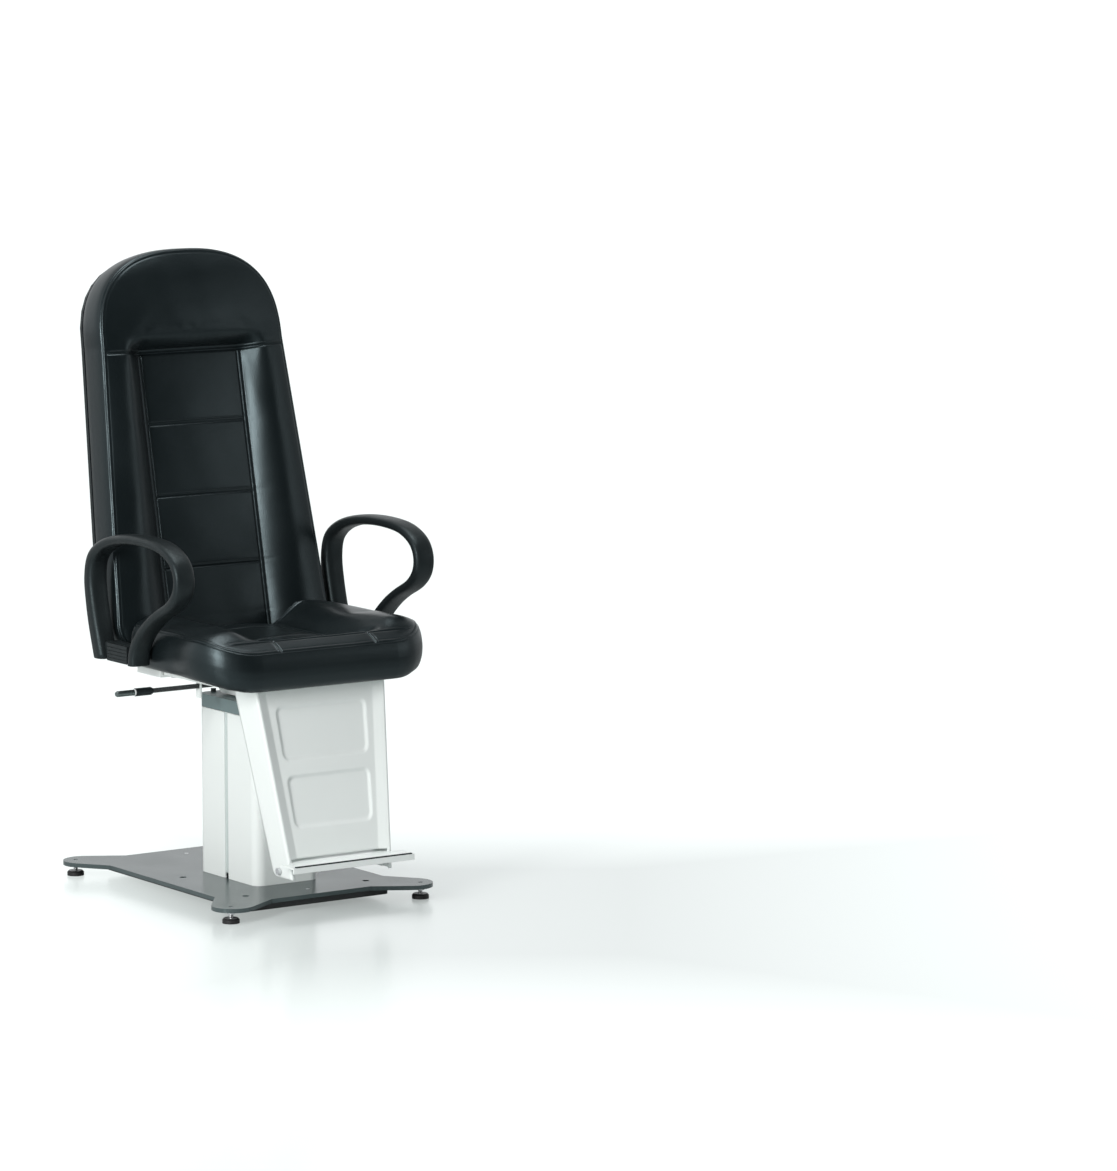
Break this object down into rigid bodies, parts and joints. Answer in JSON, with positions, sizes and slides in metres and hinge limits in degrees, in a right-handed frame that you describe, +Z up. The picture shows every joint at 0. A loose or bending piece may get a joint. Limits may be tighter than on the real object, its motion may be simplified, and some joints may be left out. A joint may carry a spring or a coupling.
{
  "type": "examination chair",
  "caption": "Medical examination chair with a quilted seat and back, looped armrests, a lifting and swivelling column, a footrest panel with footplate, and a flat base on levelling feet.",
  "frame": {"origin": "on the floor, midway between the column's left and right sides, 11 mm behind the column's own axis, with the chair at its lowest height", "axes": "+Z up, -Y towards the patient's feet (the way the seated patient faces), +X towards the patient's left hand"},
  "size_m": [0.5885, 0.6921, 1.1926],
  "materials": {
    "base_paint": "satin",
    "ballast_paint": "satin",
    "zinc_steel": "satin",
    "foot_rubber": "matt",
    "white_paint": "semi-gloss",
    "sleeve_paint": "satin",
    "head_paint": "satin",
    "strip_plastic": "satin",
    "black_plastic": "fine grain",
    "nylon": "matt",
    "cast_drive": "cast",
    "motor_steel": "satin",
    "bronze": "machined",
    "dark_steel": "satin",
    "black_steel": "satin",
    "grip_grey": "satin",
    "grip_ring": "satin",
    "board": "raw plywood",
    "black_leather": "soft sheen",
    "strip_rubber": "ribbed"
  },
  "bodies": {
    "base": {"base_plate": "base_paint", "ballast_plate": "ballast_paint", "ballast_screws": "zinc_steel", "lock_nuts": "zinc_steel", "column_flange": "zinc_steel", "flange_bolts": "zinc_steel", "outer_guide_tube": "zinc_steel", "upper_glides": "nylon", "front_cover": "white_paint", "rear_cover": "white_paint", "groove_strips": "strip_plastic", "cable_gland": "black_plastic", "control_box": "black_plastic", "drive_gearbox": "cast_drive", "drive_motor": "motor_steel", "drive_tube": "zinc_steel", "drive_bush": "nylon", "drive_lower_pin": "zinc_steel"},
    "foot_front_left": {"foot_front_left": "foot_rubber"},
    "foot_front_right": {"foot_front_right": "foot_rubber"},
    "foot_rear_left": {"foot_rear_left": "foot_rubber"},
    "foot_rear_right": {"foot_rear_right": "foot_rubber"},
    "screw": {"lifting_screw": "zinc_steel"},
    "carriage": {"drive_nut": "bronze", "piston_rod": "zinc_steel", "drive_upper_pin": "zinc_steel", "inner_guide_tube": "zinc_steel", "lower_glides": "nylon", "inner_sleeve": "sleeve_paint", "head_plate": "zinc_steel", "column_head": "head_paint", "swivel_spindle": "zinc_steel", "spindle_nut": "zinc_steel", "swivel_stops": "foot_rubber"},
    "seat": {"thrust_washer": "bronze", "spindle_bush": "bronze", "seat_carrier": "white_paint", "brake_shoe": "bronze", "lever_pin": "zinc_steel", "seat_plate": "white_paint", "seat_bolts": "zinc_steel", "seat_board": "board", "seat_cushion": "black_leather", "arm_brackets": "white_paint", "arm_bolts": "zinc_steel", "arm_left": "black_plastic", "arm_right": "black_plastic", "arm_foot_covers": "black_plastic", "back_uprights": "dark_steel", "back_bolts": "zinc_steel", "back_shell": "black_plastic", "back_cushion": "black_leather", "footrest_panel": "white_paint", "footplate": "white_paint", "footplate_bolts": "zinc_steel", "footplate_strip": "strip_rubber"},
    "lever": {"lever_rod": "black_steel", "lever_sleeve": "black_plastic", "lever_ring": "grip_ring", "lever_grip": "grip_grey"}
  },
  "joints": [
    {"name": "foot_front_left_level", "type": "slide", "parent": "base", "child": "foot_front_left", "axis": [0, 0, -1], "range_m": [-0.003, 0.006]},
    {"name": "foot_front_right_level", "type": "slide", "parent": "base", "child": "foot_front_right", "axis": [0, 0, -1], "range_m": [-0.003, 0.006]},
    {"name": "foot_rear_left_level", "type": "slide", "parent": "base", "child": "foot_rear_left", "axis": [0, 0, -1], "range_m": [-0.003, 0.006]},
    {"name": "foot_rear_right_level", "type": "slide", "parent": "base", "child": "foot_rear_right", "axis": [0, 0, -1], "range_m": [-0.003, 0.006]},
    {"name": "lift", "type": "slide", "parent": "base", "child": "carriage", "axis": [0, 0, 1], "range_m": [0, 0.16]},
    {"name": "screw_turn", "type": "hinge", "parent": "base", "child": "screw", "pos_m": [0.02, -0.062, 0.1], "axis": [0, 0, 1], "range_deg": [0, 7200]},
    {"name": "swivel", "type": "hinge", "parent": "carriage", "child": "seat", "pos_m": [0, -0.011, 0.373], "axis": [0, 0, 1], "range_deg": [-120, 120]},
    {"name": "brake_lever", "type": "hinge", "parent": "seat", "child": "lever", "pos_m": [-0.0566, -0.014, 0.401], "axis": [0, 1, 0], "range_deg": [0, 6], "stiffness_Nm_per_rad": 6, "springref_deg": -9.74}
  ],
  "couplings": [
    {"joint": "screw_turn", "follows": "lift", "rad_per_m": 785.4}
  ]
}
